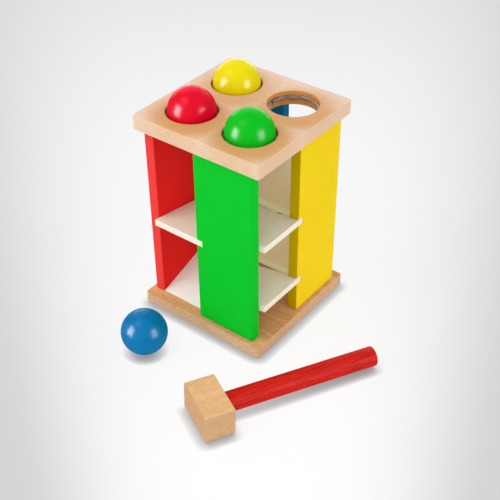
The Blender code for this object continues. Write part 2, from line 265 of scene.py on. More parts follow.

# %% [markdown]
# ## Beech
#
# The boards and the mallet's head are bare beech under a thin clear finish. Beech is
# pale and pinkish, with quiet bands where the years differ, fine lines along the grain
# and its own mark: short darker flecks, a few millimetres long. Where the saw crosses
# the grain, the flecks turn into dots and the wood drinks more finish and looks
# deeper. Round its holes the top board is painted deeper and warmer, as painted shade
# and warm bounce from the balls. A photograph of wood would repeat and would stretch
# round the edges. A solid pattern, worked out in three dimensions and stretched along
# the grain, runs through the piece as real wood does, so every face and every hole
# agrees with its neighbours.

# %% The beech finish
# The marks of the wood, in metres: how long along the grain, then how wide across it.
YEARS, LINES = (0.25, 0.011, 0.016), (0.045, 0.0012, 0.0013)
FLECKS, PORES = (0.0060, 0.0005, 0.0006), (0.0022, 0.00022, 0.00022)
HOLE_OFFSET, HOLE_RADIUS = 0.0333, 0.0247
# PAST_RIM ends the painted shade on the holes' walls; the other two place the painted
# ball shade.
PAST_RIM, BALL_SHADE_REACH, BALL_SHADE_SHIFT = (0.0262, 0.0320), (0.026, 0.052), 0.010


def from_hole(where, shift=(0, 0, 0)):
    """The distance from the nearest of the four holes' centres, seen from above.

    The board is folded onto one quarter by taking x and y without their signs. A shift
    moves all four centres together.
    """
    quarter = where.vector("SUBTRACT", shift).vector("ABSOLUTE", (0, 0, 0))
    flat = quarter.vector("MULTIPLY", (1, 1, 0))
    return flat.vector("DISTANCE", (HOLE_OFFSET, HOLE_OFFSET, 0), output="Value")


def ball_shade(where):
    """Painted ball shade and bounce: most at the rims of the holes, least at corners.

    It is centred a little off the holes, toward the camera's side in front of the
    balls. It is nearly full there and about a third on the far side.
    """
    toward = from_middle(CAMERA_AZIMUTH, 0)
    near = 1 - from_hole(where, toward * BALL_SHADE_SHIFT).step(*BALL_SHADE_REACH)
    return near * (0.95 - where.along(-toward).step(-0.04, 0.09) * 0.6)


def beech(name, light, deep, fleck, flecks, varnish=0.0, sides=None, holes=None,
          bore=None, bands=1.0, place=(0, 0, 0), turn=(0, 0, 0)):
    """Solid wood with its grain along X, once the piece is turned back by turn.

    The colour runs from light to deep with the years' bands and the fine lines. Over it
    lie flecks of the fleck colour, as strong as flecks says. Varnish is a clear coat on
    the faces that look up, where it was rubbed to a sheen. Round the drilled holes the
    wood leans to the colour holes, which is painted shade and warm bounce from the balls.
    The holes' walls take the colour bore, which is painted shade inside the holes. Other
    faces that don't look up lean to the colour sides, a painted tone for how the light
    falls on them.
    """
    material, shader, where = start_material(name)
    grain = where.node("ShaderNodeMapping", {"vector_type": "TEXTURE"},
                       {"Vector": where, "Location": place, "Rotation": turn})
    drift = grain.noise((0.07, 0.03, 0.03), 1.0) * 0.007
    across = drift.node("ShaderNodeCombineXYZ", {}, {"Y": drift, "Z": drift})
    grain = grain.vector("ADD", across)

    band = grain.noise(YEARS, 2.0).step(0.34, 0.66)
    line = grain.noise(LINES, 2.0).step(0.36, 0.68)
    dash = grain.noise(FLECKS, 0.0).step(0.59, 0.74)
    pore = grain.noise(PORES, 0.0).step(0.62, 0.72)
    turned_back = Matrix.Rotation(turn[2], 3, "Z") @ Matrix.Rotation(turn[1], 3, "Y")
    facing_end = surface_way(where).along(turned_back @ Vector((1, 0, 0)))
    end = (facing_end * facing_end).step(0.55, 0.95)
    upward = surface_way(where).along((0, 0, 1)).step(0.70, 0.99)

    tone = band * (0.50 * bands) + line * (0.34 * bands)
    colour = tone.mix(rgb(*light), rgb(*deep))
    colour = (end * 0.45).mix(colour, rgb(*deep))
    aside = 1 - upward
    if holes:
        # Painted shade and warm bounce of the balls: deeper and warmer round the holes.
        colour = ball_shade(where).mix(colour, rgb(*holes))
        # Painted shade inside the holes: their walls take the deep colour bore.
        outside = from_hole(where).step(*PAST_RIM)
        colour = (aside * (1 - outside)).mix(colour, rgb(*bore))
        aside = aside * outside
    # Painted light: faces that don't look up take the colour sides, for how the light
    # falls on them.
    if sides:
        colour = (aside * 0.7).mix(colour, rgb(*sides))
    colour = (dash * flecks).mix(colour, rgb(*fleck))
    colour = (pore * 0.16).mix(colour, rgb(*fleck))
    height = line * -0.3 - dash * 0.3 - pore * 0.8
    connect(shader, Base_Color=colour, Normal=bumped(height, 0.00008),
            Roughness=0.50 + line * 0.07 + dash * 0.08, Specular_IOR_Level=0.0,
            Coat_Weight=upward * varnish if varnish else 0.0, Coat_Roughness=0.42)
    return material


# Painted light: the top board's paler sides colour stands for the light on its edges.
top_beech = beech("top beech", (0.88, 0.66, 0.53), (0.78, 0.55, 0.42),
                  (0.46, 0.23, 0.11), 0.24, varnish=0.06, bands=0.8,
                  sides=(0.92, 0.67, 0.47), holes=(0.68, 0.355, 0.13),
                  bore=(0.69, 0.33, 0.10))
# Painted light: the base's deep orange top is painted warm shade under the tower, and its
# sides colour is its edges' tone.
base_beech = beech("base beech", (0.84, 0.48, 0.22), (0.64, 0.32, 0.125),
                   (0.38, 0.17, 0.08), 0.50, bands=1.15, sides=(0.72, 0.50, 0.33))
print("beech for the boards")

# %% [markdown]
# ## From a grid of points to a skin
#
# Each new shape is worked out as a sheet: a grid of points from a formula of two
# numbers, with whole arrays at a time. A closed piece is a few sheets that share their
# borders, such as the wall of a board and its two faces. The skin joins them, and the
# shared points are welded, so nothing gapes. Modelling by hand or cutting one solid
# out of another gives the same outside, but a grid keeps its faces even, which is what
# makes soft edges and round holes shade well.

# %% Sheets, skins and pieces
WELD = 0.000002


def skin(name, sheets, sharp=radians(50)):
    """One closed mesh from sheets of points, each (rows, columns, 3).

    A sheet whose columns go all the way round has its last column joined to its first.
    Rows that shrink to a point become a fan of triangles when they are welded.
    """
    points, faces, first = [], [], 0
    for sheet, goes_round in sheets:
        rows, columns = sheet.shape[:2]
        number = first + np.arange(rows * columns).reshape(rows, columns)
        if goes_round:
            number = np.hstack([number, number[:, :1]])
        corners = (number[:-1, :-1], number[:-1, 1:], number[1:, 1:], number[1:, :-1])
        faces.append(np.stack(corners, -1).reshape(-1, 4))
        points.append(sheet.reshape(-1, 3))
        first += rows * columns
    mesh = bpy.data.meshes.new(name)
    points, faces = np.concatenate(points), np.concatenate(faces)
    mesh.from_pydata(points.tolist(), [], faces.tolist())
    return welded(mesh, sharp)


def welded(mesh, sharp):
    """Join points that coincide, turn all faces outward and shade the mesh smooth."""
    shape = bmesh.new()
    shape.from_mesh(mesh)
    bmesh.ops.remove_doubles(shape, verts=shape.verts, dist=WELD)
    bmesh.ops.recalc_face_normals(shape, faces=shape.faces)
    open_edges = sum(1 for edge in shape.edges if len(edge.link_faces) != 2)
    shape.to_mesh(mesh)
    shape.free()
    mesh.shade_smooth()
    mesh.set_sharp_from_angle(angle=sharp)
    print(mesh.name, len(mesh.polygons), "faces,", open_edges, "open edges")
    return mesh


def between(start, end, rows):
    """Straight rows from one loop of points to another, evenly spaced."""
    share = np.linspace(0, 1, rows)[:, None, None]
    return start + (end - start) * share


def placed(points, matrix):
    """Points after a turn and a shift: each times the matrix's turn, plus its shift."""
    values = np.array(matrix)
    return points @ values[:3, :3].T + values[:3, 3]


def dress(name, mesh, material, body, slot, node):
    """A finished piece of a mesh, riding on its body in place of its CAD node."""
    piece = bpy.data.objects.new(name, mesh)
    scene.collection.objects.link(piece)
    mesh.materials.append(material)
    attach(piece, body)
    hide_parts(node)
    return piece


def weight_normals(piece):
    """Let the large flat faces set the shading, so that only soft edges are round."""
    weighted = piece.modifiers.new("Flat faces stay flat", "WEIGHTED_NORMAL")
    weighted.keep_sharp = True


# %% [markdown]
# ## The base board
#
# A square board with small rounded corners and edges that were sanded soft. A cube
# with a bevel would do. Here it is a profile carried round a path: the path is a
# rounded rectangle, and the profile goes down a quarter circle, down the wall and in
# along another quarter circle. The same two functions then make the drilled top board
# and the mallet's head, which a plain bevel can't.

# %% A rounded path and an eased wall
CORNER_STEPS, EASE_STEPS = 6, 5


def rounded_rectangle(half, corner, side_steps):
    """Points round a rectangle with quarter circles at its corners, and ways outward.

    At a corner the outward way turns evenly through a quarter turn, and the point is
    the quarter circle's centre plus its radius times that way. Along a side the way
    stays still and the point runs evenly to the next corner.
    """
    angle = (np.arange(4) * pi / 2)[:, None] + np.linspace(0, pi / 2, CORNER_STEPS + 1)
    way = np.stack([np.cos(angle), np.sin(angle)], -1)
    signs = np.array([[1, 1], [-1, 1], [-1, -1], [1, -1]])
    arcs = (signs * (np.array(half) - corner))[:, None] + corner * way
    start, end = arcs[:, -1:], np.roll(arcs, -1, axis=0)[:, :1]
    share = (np.arange(1, side_steps) / side_steps)[None, :, None]
    sides = start + (end - start) * share
    side_way = np.repeat(way[:, -1:], side_steps - 1, axis=1)
    points = np.concatenate([arcs, sides], axis=1).reshape(-1, 2)
    return points, np.concatenate([way, side_way], axis=1).reshape(-1, 2)


def lifted(outline, height):
    """Flat points with a height."""
    return np.concatenate([outline, np.full((*outline.shape[:-1], 1), height)], -1)


def eased_wall(outline, way, ease, low, high):
    """A wall round a flat outline, with a quarter circle at its top and bottom edge.

    Going down, a point moves outward by the ease times the sine of the turn and down
    by the ease times one less the cosine. The bottom is the same read backward.
    """
    turn = np.linspace(0, pi / 2, EASE_STEPS + 1)
    out, drop = ease * np.sin(turn), ease * (1 - np.cos(turn))
    reach = np.concatenate([out, out[::-1]])[:, None, None]
    height = np.concatenate([high - drop, (low + drop)[::-1]])
    flat = outline + reach * way
    return np.concatenate([flat, np.broadcast_to(height[:, None, None],
                                                 (*flat.shape[:2], 1))], -1)


def centre_of(loop):
    """A loop of the same length with every point at the middle of the loop's box."""
    middle = (loop.min(0) + loop.max(0)) / 2
    return np.broadcast_to(middle, loop.shape)


BOARD_CORNER, BOARD_EASE = 0.0028, 0.0010
base_low, base_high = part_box("base_board")
outline, way = rounded_rectangle((base_high.x - BOARD_EASE,) * 2,
                                 BOARD_CORNER - BOARD_EASE, 48)
base_sheets = [(eased_wall(outline, way, BOARD_EASE, base_low.z, base_high.z), True)]
for height in (base_high.z, base_low.z):
    rim = lifted(outline, height)
    base_sheets.append((between(rim, centre_of(rim), 12), True))
base_mesh = skin("base board", base_sheets)
weight_normals(dress("base_board_wood", base_mesh, base_beech, "tower", "beech_base",
                     "base_board"))

# %% [markdown]
# ## The top board with its four holes
#
# The holes are wide, and each has a groove in its wall for the plastic ring that grips
# a ball. The board is divided into four quarters, one to a hole. In a quarter, every
# point of the outer border is joined by a straight row to the point of the hole's rim
# that lies in the same direction, so the grid turns from a circle into a square corner
# without a seam. The hole's wall is one profile carried round those same directions,
# and the other three quarters are mirror images.

# %% Top board
HOLE_EASE, GROOVE_RADIUS, GROOVE_TOP, GROOVE_BOTTOM = 0.0010, 0.0263, 0.0045, 0.0097
SIDE_STEPS = 72


def quarter_border(half):
    """The outer border of the +X +Y quarter, with the two seams through the middle.

    It takes the rounded rectangle from the middle of its right side to the middle of
    its top side, and goes back along the board's two centre lines in even steps.
    """
    steps = SIDE_STEPS // 2
    points, _ = rounded_rectangle((half, half), BOARD_CORNER - BOARD_EASE, SIDE_STEPS)
    outer = np.roll(points, steps, axis=0)[:2 * steps + CORNER_STEPS + 1]
    share = (np.arange(1, steps) / steps)[:, None]
    corner = np.zeros((1, 2))
    return np.concatenate([outer, outer[-1] * (1 - share), corner, outer[0] * share])


top_low, top_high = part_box("top_board")
face, half = top_high.z, top_high.x - BOARD_EASE
border = quarter_border(half)
direction = border - HOLE_OFFSET
direction /= np.linalg.norm(direction, axis=1, keepdims=True)

turn = np.linspace(0, pi / 2, EASE_STEPS + 1)
rim_radius = HOLE_RADIUS + HOLE_EASE * (1 - np.sin(turn))
rim_drop = HOLE_EASE * (1 - np.cos(turn))
wall_profile = np.concatenate([
    np.stack([rim_radius, face - rim_drop], -1),
    [(HOLE_RADIUS, face - GROOVE_TOP), (GROOVE_RADIUS, face - GROOVE_TOP),
     (GROOVE_RADIUS, face - GROOVE_BOTTOM), (HOLE_RADIUS, face - GROOVE_BOTTOM)],
    np.stack([rim_radius, top_low.z + rim_drop], -1)[::-1]])
hole_wall = lifted(HOLE_OFFSET + wall_profile[:, None, :1] * direction, 0.0)
hole_wall[..., 2] = wall_profile[:, 1:]

outline, way = rounded_rectangle((half, half), BOARD_CORNER - BOARD_EASE, SIDE_STEPS)
top_sheets = [(eased_wall(outline, way, BOARD_EASE, top_low.z, face), True)]
for mirror in ((1, 1, 1), (-1, 1, 1), (-1, -1, 1), (1, -1, 1)):
    top_sheets.append((hole_wall * mirror, True))
    for row, height in ((0, face), (-1, top_low.z)):
        flat = between(hole_wall[row], lifted(border, height), 8)
        top_sheets.append((flat * mirror, True))
top_mesh = skin("top board", top_sheets)
weight_normals(dress("top_board_wood", top_mesh, top_beech, "tower", "beech_top",
                     "top_board"))

# %% [markdown]
# ## Lacquer on wood
#
# The panels are painted in strong colours with a satin lacquer, and the ramps in warm
# white. Sprayed lacquer is never quite even: it has a fine skin like orange peel, the
# grain of the wood sinks in a little under it, and the colour deepens where the coat
# lies thicker. All three are faint, and they are what keeps a large plain face from
# looking like plastic. The narrow edges of two panels take another colour: painted
# shade on the yellow one's and a painted sheen on the red one's. The whites are copies
# of one paint. They are painted warmer inside the tower for the warm bounce there and
# yellowest on the back ramps, and the exit ramp out in the open is the cleanest.

# %% The lacquer finish
def lacquer(name, colour, deep, roughness, fibre, edge=None):
    """Satin paint over wood whose fibres are stretched by the three lengths of fibre.

    Narrow edges that look along Y take the colour edge, a painted tone for the light on
    them: painted shade on the yellow panel and a painted sheen on the red one.
    """
    material, shader, where = start_material(name)
    cloud = where.noise((0.035, 0.035, 0.050), 2.0).step(0.30, 0.70)
    line = where.noise(fibre, 2.0).step(0.35, 0.70)
    peel = where.noise((0.0016, 0.0016, 0.0016), 1.0)
    tint = (cloud * 0.30 + line * 0.20).mix(rgb(*colour), rgb(*deep))
    # Painted light on the narrow edges: shade on the yellow panel, a sheen on the red
    # one.
    if edge:
        narrow = surface_way(where).along((0, 1, 0))
        tint = (narrow * narrow).step(0.3, 0.9).mix(tint, rgb(*edge))
    connect(shader, Base_Color=tint, Roughness=roughness + cloud * 0.05 + line * 0.04,
            Normal=bumped(peel * 0.6 + line * 0.4, 0.00006), Specular_IOR_Level=0.02)
    return material


UPRIGHT, LEVEL = (0.0012, 0.0012, 0.040), (0.0012, 0.030, 0.0012)
PANEL_ROUGHNESS, RAMP_ROUGHNESS = 0.36, 0.42
# Paint, colour, deep, and the edge colour: painted shade on yellow, painted sheen on red.
PANEL_PAINT = {
    "front": ("green", (0.001, 0.59, 0.026), (0.001, 0.53, 0.016), None),
    "right": ("yellow", (0.95, 0.69, 0.008), (0.93, 0.64, 0.004), (0.66, 0.44, 0.003)),
    "back": ("blue", (0.001, 0.17, 0.42), (0.001, 0.14, 0.35), None),
    "left": ("red", (0.92, 0.020, 0.018), (0.86, 0.012, 0.011), (0.90, 0.055, 0.050)),
}
panel_finish = {
    side: lacquer(paint + " lacquer", colour, deep, PANEL_ROUGHNESS, UPRIGHT, edge)
    for side, (paint, colour, deep, edge) in PANEL_PAINT.items()}
# Copies of one white, painted warmer for the bounce light inside the tower, most at the
# back.
white_lacquer, back_bounce_lacquer, exit_lacquer = (
    lacquer(name, colour, deep, RAMP_ROUGHNESS, LEVEL) for name, colour, deep in (
        ("white lacquer", (0.97, 0.895, 0.75), (0.94, 0.855, 0.70)),
        ("back bounce white lacquer", (0.99, 0.86, 0.60), (0.96, 0.81, 0.54)),
        ("exit lacquer", (0.97, 0.97, 0.92), (0.96, 0.95, 0.89))))
print("lacquers:", ", ".join(panel_finish), "and three whites")

# %% [markdown]
# ## Panels with their sloping notches
#
# A panel is a plain upright board, but its free edge has a notch for the tab of each
# ramp, and the notch slopes with the ramp from the outer face to the inner one. So the
# panel is an outline swept through its own thickness while the notch's corners sink.
# A Bevel modifier then softens the outer edges alone: each edge carries a weight, and
# the notch's edges weigh nothing, because a soft edge there would open the tight joint.

# %% Panels
PANEL_PLANE, PANEL_THICKNESS, PANEL_WIDTH = 0.0687, 0.0110, 0.0660
PAST_MIDDLE, SEAT_GAP, PANEL_EASE = 0.0040, 0.0003, 0.0008
RAMP_THICKNESS, SLOPE, NOTCH_END = 0.0070, 0.162, 0.0031
RAMP_HEIGHTS = {
    "front": {"front_ramp": 0.0963},
    "right": {"right_upper_ramp": 0.1128, "right_lower_ramp": 0.0410},
    "back": {"back_upper_ramp": 0.1270, "back_lower_ramp": 0.0545},
    "left": {"left_ramp": 0.0754},
}
SIDES = ("front", "right", "back", "left")
face_matrix = {}
for turns, side in enumerate(SIDES):
    quarter = turns * pi / 2
    face_matrix[side] = Matrix.Translation(
        (PANEL_PLANE * sin(quarter), -PANEL_PLANE * cos(quarter), 0)
    ) @ Matrix.Rotation(quarter, 4, "Z")


def swept(name, near, far, side):
    """A closed mesh between two loops of points with flat ends, turned to its side."""
    count = len(near)
    number = np.arange(count)
    walls = np.stack([number, np.roll(number, -1), np.roll(number, -1) + count,
                      number + count], -1)
    faces = [number.tolist(), (number + count).tolist(), *walls.tolist()]
    points = placed(np.concatenate([near, far]), face_matrix[side])
    mesh = bpy.data.meshes.new(name)
    mesh.from_pydata(points.tolist(), [], faces)
    return welded(mesh, radians(30))


def soften(piece, width, by_weight=False):
    """Round a piece's edges with a Bevel whose flat faces keep their shading."""
    bevel = piece.modifiers.new("Softened edges", "BEVEL")
    bevel.width, bevel.segments, bevel.harden_normals = width, 4, True
    bevel.limit_method = "WEIGHT" if by_weight else "ANGLE"
    bevel.angle_limit = radians(30)


def panel_outline(side):
    """Corner heights and widths of a panel with its notches, and which of them sink."""
    low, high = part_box(side + "_panel")
    left, right_edge = -PAST_MIDDLE, PANEL_WIDTH - PAST_MIDDLE
    points = [(left, low.z, 0), (right_edge, low.z, 0), (right_edge, high.z, 0),
              (left, high.z, 0)]
    for height in RAMP_HEIGHTS[side].values():
        upper = base_high.z + height + SEAT_GAP
        lower = upper - RAMP_THICKNESS - 2 * SEAT_GAP
        points += [(left, upper, 1), (NOTCH_END, upper, 1), (NOTCH_END, lower, 1),
                   (left, lower, 1)]
    return np.array(points)


def soft_edges(mesh, corners):
    """True for an edge that is sanded soft, and false for an edge of a notch.

    An edge is soft if it touches no notch, or if it runs along the free side on a face
    of the panel. The two ends of an edge through the thickness are the same corner of
    the outline, so their numbers lie a whole outline apart.
    """
    ends = np.zeros(2 * len(mesh.edges), int)
    mesh.edges.foreach_get("vertices", ends)
    ends = ends.reshape(-1, 2)
    at_notch = np.tile(corners[:, 2] > 0, 2)[ends]
    on_free_side = np.tile(corners[:, 0] < 0, 2)[ends]
    through = np.abs(ends[:, 0] - ends[:, 1]) == len(corners)
    return ~at_notch.any(1) | (on_free_side.all(1) & ~through)


for side in SIDES:
    corners = panel_outline(side)
    near = np.insert(corners[:, :2], 1, 0.0, axis=1)
    sunk = corners[:, 2:] * [0, 0, SLOPE * PANEL_THICKNESS]
    mesh = swept(side + " panel", near, near + [0, PANEL_THICKNESS, 0] - sunk, side)
    weight = mesh.attributes.new("bevel_weight_edge", "FLOAT", "EDGE")
    weight.data.foreach_set("value", soft_edges(mesh, corners).astype(np.float32))
    panel = dress(side + "_panel_board", mesh, panel_finish[side], "tower",
                  PANEL_PAINT[side][0] + "_lacquer", side + "_panel")
    soften(panel, PANEL_EASE, by_weight=True)

# %% [markdown]
# ## Ramps
#
# Each ramp is a flat board with a step in its outline: the narrow part is the tab that
# lies in the panel's notch. It tilts by sinking in proportion to how far in a point
# lies, which keeps its ends upright, just as a saw guided by the panel would cut them.
# The outline is swept through the board's thickness and its edges are softened.

# %% Ramps
RAMP_WALL, RAMP_SIDE, RAMP_RUN, RAMP_EASE = -0.0574, -0.0012, 0.0696, 0.0008
TAB_END = NOTCH_END - SEAT_GAP
ramp_outline = np.array([(RAMP_WALL, 0), (TAB_END, 0), (TAB_END, PANEL_THICKNESS),
                         (RAMP_SIDE, PANEL_THICKNESS), (RAMP_SIDE, RAMP_RUN),
                         (RAMP_WALL, RAMP_RUN)])
for side in SIDES:
    for node, height in RAMP_HEIGHTS[side].items():
        top = lifted(ramp_outline, base_high.z + height)
        top[:, 2] -= SLOPE * ramp_outline[:, 1]
        mesh = swept(node.replace("_", " "), top, top - [0, 0, RAMP_THICKNESS], side)
        # The back ramps take the yellowest copy of the white: painted warm bounce light.
        finish = back_bounce_lacquer if side == "back" else white_lacquer
        soften(dress(node + "_board", mesh, finish, "tower", "white_lacquer", node),
               RAMP_EASE)

# %% [markdown]
# ## The exit ramp
#
# The last board lies on the base and ends in a thin nose, so that a ball rolls out
# over it without a bump. Its side view is the outline here, and the sweep runs across
# the opening between the two panels.

# %% Exit ramp
EXIT_SLOPE, EXIT_NOSE, EXIT_EASE = 0.33, 0.0015, 0.0005
nose = PANEL_PLANE - (PANEL_WIDTH - PAST_MIDDLE - SEAT_GAP)
lie = base_high.z + SEAT_GAP
rise = EXIT_NOSE + (RAMP_RUN - nose) * EXIT_SLOPE
plumb = RAMP_THICKNESS * hypot(1, EXIT_SLOPE)
heel = nose + (plumb - EXIT_NOSE) / EXIT_SLOPE
exit_outline = np.array([(nose, lie), (heel, lie), (RAMP_RUN, lie + rise - plumb),
                         (RAMP_RUN, lie + rise), (nose, lie + EXIT_NOSE)])
exit_left = np.insert(exit_outline, 0, RAMP_WALL, axis=1)
exit_right = np.insert(exit_outline, 0, -PAST_MIDDLE - SEAT_GAP, axis=1)
exit_mesh = swept("exit ramp", exit_left, exit_right, "front")
soften(dress("exit_ramp_board", exit_mesh, exit_lacquer, "tower", "white_lacquer",
             "exit_ramp"), EXIT_EASE)

# %% [markdown]
# ## Glossy balls
#
# The balls are turned from wood and dipped in a thick gloss paint, so they show soft
# edged windows of the softboxes and a pale rim where the surface turns away. The shape
# is a globe of even rows and columns. The paint is a clear coat over a colour, with a
# very low long ripple, because dipped paint flows before it sets.

# %% The gloss finish and the ball
def gloss(name, colour, deep):
    """Thick gloss paint: a clear coat over a colour with a faint long ripple."""
    material, shader, where = start_material(name)
    ripple = where.noise((0.009, 0.009, 0.009), 1.0)
    speck = where.noise((0.0012, 0.0012, 0.0012), 1.0)
    tint = (ripple.step(0.35, 0.65) * 0.35).mix(rgb(*colour), rgb(*deep))
    connect(shader, Base_Color=tint, Roughness=0.24 + speck * 0.06,
            Normal=bumped(ripple, 0.00003), Specular_IOR_Level=0.0, Coat_Weight=0.16,
            Coat_Roughness=0.25)
    return material


def globe(centre, radius, around=96, down=48):
    """Centre plus radius times (sin v cos u, sin v sin u, cos v).

    u goes once round, and v goes from the top pole to the bottom one.
    """
    u = np.linspace(0, 2 * pi, around, endpoint=False)[None, :]
    v = np.linspace(0, pi, down + 1)[:, None]
    unit = np.stack([np.sin(v) * np.cos(u), np.sin(v) * np.sin(u),
                     np.cos(v) + 0 * u], -1)
    return np.array(centre) + radius * unit


ball_finish = {
    "red": gloss("red gloss", (0.79, 0.001, 0.022), (0.70, 0.001, 0.015)),
    "green": gloss("green gloss", (0.001, 0.51, 0.010), (0.001, 0.45, 0.006)),
    "yellow": gloss("yellow gloss", (0.82, 0.71, 0.001), (0.79, 0.64, 0.001)),
    "blue": gloss("blue gloss", (0.001, 0.18, 0.43), (0.001, 0.14, 0.35)),
}
for colour, finish in ball_finish.items():
    node = colour + "_ball"
    low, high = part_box(node)
    mesh = skin(node.replace("_", " "),
                [(globe((low + high) / 2, (high.z - low.z) / 2), True)])
    dress(node + "_painted", mesh, finish, node, colour + "_gloss", node)

# %% [markdown]
# ## Split grip rings
#
# A brown plastic ring sits in each hole's groove and holds the ball until the mallet
# drives it through. It is open by a small slot, so that it can spring. Its section is
# a rounded rectangle with a crowned inner face, carried round most of a circle. The
# slot has parallel sides, so a point's end angle depends on its own radius: half the
# slot divided by the radius is the sine of the angle that is left out.

# %% Grip rings
RING_BORE, RING_OUTER, RING_TOP, RING_HEIGHT = 0.0228, 0.0256, 0.2172, 0.0046
RING_SPLIT, RING_TURN, RING_ROUND, RING_CROWN = 0.0022, radians(184), 0.0006, 0.00025
RING_STEPS = 180


def ring_section():
    """A rounded rectangle whose inner side bulges toward the ball by a shallow curve.

    Away from mid height the inner side steps back by the crown times the square of the
    height's share.
    """
    half = ((RING_OUTER - RING_BORE) / 2, RING_HEIGHT / 2)
    points, _ = rounded_rectangle(half, RING_ROUND, 6)
    inner = points[:, 0] < 0
    points[inner, 0] += RING_CROWN * (points[inner, 1] / half[1]) ** 2
    return points + [(RING_OUTER + RING_BORE) / 2, RING_TOP - RING_HEIGHT / 2]


def ring_sheets(x, y):
    """The section carried round the hole, closed at both ends with flat caps."""
    section = ring_section()
    radius, height = section[:, 0], section[:, 1]
    left_out = np.arcsin(RING_SPLIT / 2 / radius)
    share = np.linspace(0, 1, RING_STEPS + 1)[:, None]
    angle = RING_TURN + left_out + (2 * pi - 2 * left_out) * share
    ring = np.stack([x + radius * np.cos(angle), y + radius * np.sin(angle),
                     np.broadcast_to(height, angle.shape)], -1)
    caps = [(between(end, np.broadcast_to(end.mean(0), end.shape), 3), True)
            for end in (ring[0], ring[-1])]
    return [(ring, True), *caps]


def grip_plastic():
    """Smoky brown plastic with flow marks, and a gloss that catches short glints."""
    material, shader, where = start_material("grip plastic")
    flow = where.noise((0.006, 0.006, 0.0012), 2.0).step(0.35, 0.70)
    scuff = where.noise((0.0009, 0.0009, 0.0009), 1.0)
    tint = flow.mix(rgb(0.17, 0.095, 0.060), rgb(0.42, 0.27, 0.21))
    connect(shader, Base_Color=tint, Roughness=0.22 + scuff * 0.2,
            Normal=bumped(flow * 0.5 + scuff * 0.5, 0.00010), IOR=1.55,
            Coat_Weight=0.3, Coat_Roughness=0.10)
    return material


ring_finish = grip_plastic()
for place, x, y in (("front_left", -1, -1), ("front_right", 1, -1),
                    ("back_left", -1, 1), ("back_right", 1, 1)):
    node = place + "_grip_ring"
    mesh = skin(node.replace("_", " "), ring_sheets(x * HOLE_OFFSET, y * HOLE_OFFSET))
    dress(node + "_sprung", mesh, ring_finish, "tower", "grip_plastic", node)

# %% [markdown]
# ## The mallet's head
#
# The head is a beech block whose grain runs the way the handle points, so the flecks
# lie across it and its left face shows the sawn ends. It has a blind socket, a round
# hole that stops inside, for the handle. It is the drilled board again: an eased wall
# round a rectangle, one face with a round rim, and the socket's wall and floor. The
# mallet lies tipped on the table, on the head's lower edge and the handle's far end,
# and the block is turned into that place once all its sheets are made.

# %% Mallet head
HEAD_LENGTH, HEAD_SIDE, HEAD_EASE, HEAD_CORNER = 0.0502, 0.0297, 0.0009, 0.0012
HANDLE_RADIUS, HANDLE_REACH, SOCKET_DEPTH = 0.0098, 0.1710, 0.0200
MALLET_X, MALLET_Y, MALLET_TURN = 0.0848, -0.1630, radians(62.3)

head_half = HEAD_SIDE / 2
tilt = atan2(head_half - HANDLE_RADIUS, HANDLE_REACH - head_half)
mallet_place = Vector((MALLET_X, MALLET_Y, head_half * sin(tilt)))
mallet_turn = (0.0, tilt, MALLET_TURN)
mallet_matrix = (Matrix.Translation(mallet_place) @ Matrix.Rotation(MALLET_TURN, 4, "Z")
                 @ Matrix.Rotation(tilt, 4, "Y"))

outline, way = rounded_rectangle((HEAD_LENGTH / 2 - HEAD_EASE, head_half - HEAD_EASE),
                                 HEAD_CORNER - HEAD_EASE, 32)
wall = eased_wall(outline, way, HEAD_EASE, -head_half, head_half)
socket = HANDLE_RADIUS + SEAT_GAP
rim = socket * outline / np.linalg.norm(outline, axis=1, keepdims=True)
socket_rim = lifted(rim, head_half)
socket_floor = lifted(rim, head_half - SOCKET_DEPTH - SEAT_GAP)
head_sheets = [
    wall,
    between(wall[0], socket_rim, 8),
    between(socket_rim, socket_floor, 6),
    between(socket_floor, centre_of(socket_floor), 4),
    between(wall[-1], centre_of(wall[-1]), 10),
]
# The sheets were drawn lying flat. Their height becomes X, their X becomes Y.
head_sheets = [(placed(sheet[..., [2, 0, 1]] + [0, 0, head_half], mallet_matrix), True)
               for sheet in head_sheets]
# Painted shade: the mallet's faces that don't look up take the darker colour sides.
mallet_beech = beech("mallet beech", (0.87, 0.53, 0.27), (0.74, 0.41, 0.19),
                     (0.50, 0.25, 0.13), 0.50, sides=(0.57, 0.36, 0.205),
                     place=mallet_place, turn=mallet_turn)
head_mesh = skin("mallet head", head_sheets)
weight_normals(dress("mallet_head_block", head_mesh, mallet_beech, "mallet",
                     "mallet_beech", "mallet_head"))

# %% [markdown]
# ## The stained handle
#
# The handle is a dowel in red stain. Stain sinks into the wood where paint lies on top,
# so the grain still shows as darker streaks that run along it at a slight slant. The
# shape is a profile turned about the handle's own axis: out from the middle of one
# end, over a small rounding, along the rod and back in at the other end.

# %% Handle
HANDLE_EASE, HANDLE_ROWS, HANDLE_SLANT = 0.0008, 40, radians(4)


def rod(start, end, radius, ease, around=72):
    """A profile of distance along and distance out, turned once about the X axis.

    The point is (along, out times cos u, out times sin u), where u goes once round.
    """
    turn = np.linspace(0, pi / 2, EASE_STEPS + 1)
    bend = np.stack([ease * (1 - np.cos(turn)), radius - ease * (1 - np.sin(turn))], -1)
    middle = np.stack([np.linspace(start + 2 * ease, end - 2 * ease, HANDLE_ROWS),
                       np.full(HANDLE_ROWS, radius)], -1)
    profile = np.concatenate([[(start, 0), (start, radius / 2)],
                              bend + [start, 0], middle,
                              (bend * [-1, 1] + [end, 0])[::-1],
                              [(end, radius / 2), (end, 0)]])
    u = np.linspace(0, 2 * pi, around, endpoint=False)[None, :]
    reach = profile[:, 1:]
    return np.stack([profile[:, :1] + 0 * u, reach * np.cos(u), reach * np.sin(u)], -1)


